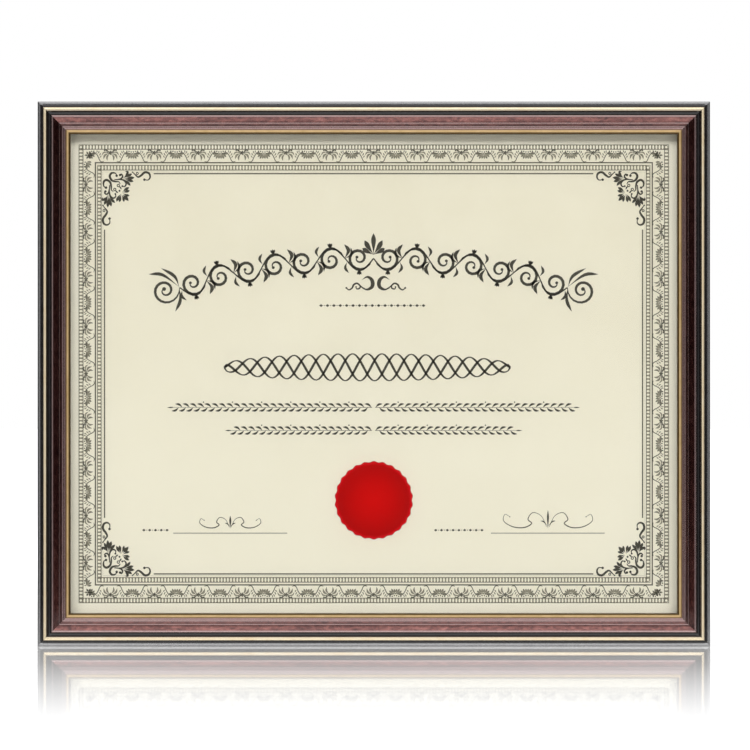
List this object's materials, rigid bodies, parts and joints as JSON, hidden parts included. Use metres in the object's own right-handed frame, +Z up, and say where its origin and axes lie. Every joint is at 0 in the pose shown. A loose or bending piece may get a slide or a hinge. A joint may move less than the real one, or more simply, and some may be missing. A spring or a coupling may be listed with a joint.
{
  "type": "certificate frame",
  "caption": "Landscape certificate frame: mitred polished moulding round glass and a sealed certificate, with a folding easel leg, turn buttons and hanging rings at the back.",
  "frame": {"origin": "middle of the flat underside of the lower rail", "axes": "+X to the right as the front is read, +Y backwards through the frame (the front faces -Y), +Z up"},
  "size_m": [0.2674, 0.0197, 0.2165],
  "materials": {
    "moulding": "gloss black lacquer with gilt beads and a burl mahogany field",
    "glass": "clear",
    "certificate": "cream laid paper, printed in grey-brown",
    "seal": "embossed red wafer",
    "filler": "grey board",
    "backing": "black grained paper on dense board",
    "leg": "black grained paper on dense board",
    "zinc_steel": "bright zinc plated",
    "plain_steel": "rolled steel",
    "rivet": "bright",
    "hanger_brass": "brass plated"
  },
  "bodies": {
    "frame": {"rail_top": "moulding", "rail_bottom": "moulding", "rail_left": "moulding", "rail_right": "moulding", "corner_v_nails": "plain_steel", "glass": "glass", "seal": "seal", "certificate": "certificate", "filler_board": "filler", "backing_board": "backing", "turn_button_screws": "zinc_steel", "hinge_board_leaf": "plain_steel", "hinge_pin": "plain_steel", "hinge_board_rivets": "rivet", "hanger_strap_top": "hanger_brass", "hanger_strap_side": "hanger_brass", "hanger_rivets": "rivet"},
    "leg": {"easel_leg": "leg", "hinge_leg_leaf": "plain_steel", "hinge_leg_rivets": "rivet"},
    "button_top_left": {"turn_button_top_left": "zinc_steel"},
    "button_top_right": {"turn_button_top_right": "zinc_steel"},
    "button_bottom_left": {"turn_button_bottom_left": "zinc_steel"},
    "button_bottom_right": {"turn_button_bottom_right": "zinc_steel"},
    "button_left": {"turn_button_left": "zinc_steel"},
    "button_right": {"turn_button_right": "zinc_steel"},
    "ring_top": {"hanger_ring_top": "hanger_brass"},
    "ring_side": {"hanger_ring_side": "hanger_brass"}
  },
  "joints": [
    {"name": "leg_hinge", "type": "hinge", "parent": "frame", "child": "leg", "pos_m": [0, 0.00865, 0.146], "axis": [1, 0, 0], "range_deg": [0, 30]},
    {"name": "button_top_left_turn", "type": "hinge", "parent": "frame", "child": "button_top_left", "pos_m": [-0.07, 0.0065, 0.21343], "axis": [0, 1, 0], "continuous": true},
    {"name": "button_top_right_turn", "type": "hinge", "parent": "frame", "child": "button_top_right", "pos_m": [0.07, 0.0065, 0.21343], "axis": [0, 1, 0], "continuous": true},
    {"name": "button_bottom_left_turn", "type": "hinge", "parent": "frame", "child": "button_bottom_left", "pos_m": [-0.07, 0.0065, 0.00308], "axis": [0, 1, 0], "continuous": true},
    {"name": "button_bottom_right_turn", "type": "hinge", "parent": "frame", "child": "button_bottom_right", "pos_m": [0.07, 0.0065, 0.00308], "axis": [0, 1, 0], "continuous": true},
    {"name": "button_left_turn", "type": "hinge", "parent": "frame", "child": "button_left", "pos_m": [-0.13057, 0.0065, 0.10825], "axis": [0, 1, 0], "continuous": true},
    {"name": "button_right_turn", "type": "hinge", "parent": "frame", "child": "button_right", "pos_m": [0.13057, 0.0065, 0.10825], "axis": [0, 1, 0], "continuous": true},
    {"name": "ring_top_swing", "type": "hinge", "parent": "frame", "child": "ring_top", "pos_m": [0, 0.0079, 0.17705], "axis": [1, 0, 0], "range_deg": [0, 169.6]},
    {"name": "ring_side_swing", "type": "hinge", "parent": "frame", "child": "ring_side", "pos_m": [-0.0942, 0.0079, 0.10825], "axis": [0, 0, 1], "range_deg": [0, 169.6]}
  ]
}
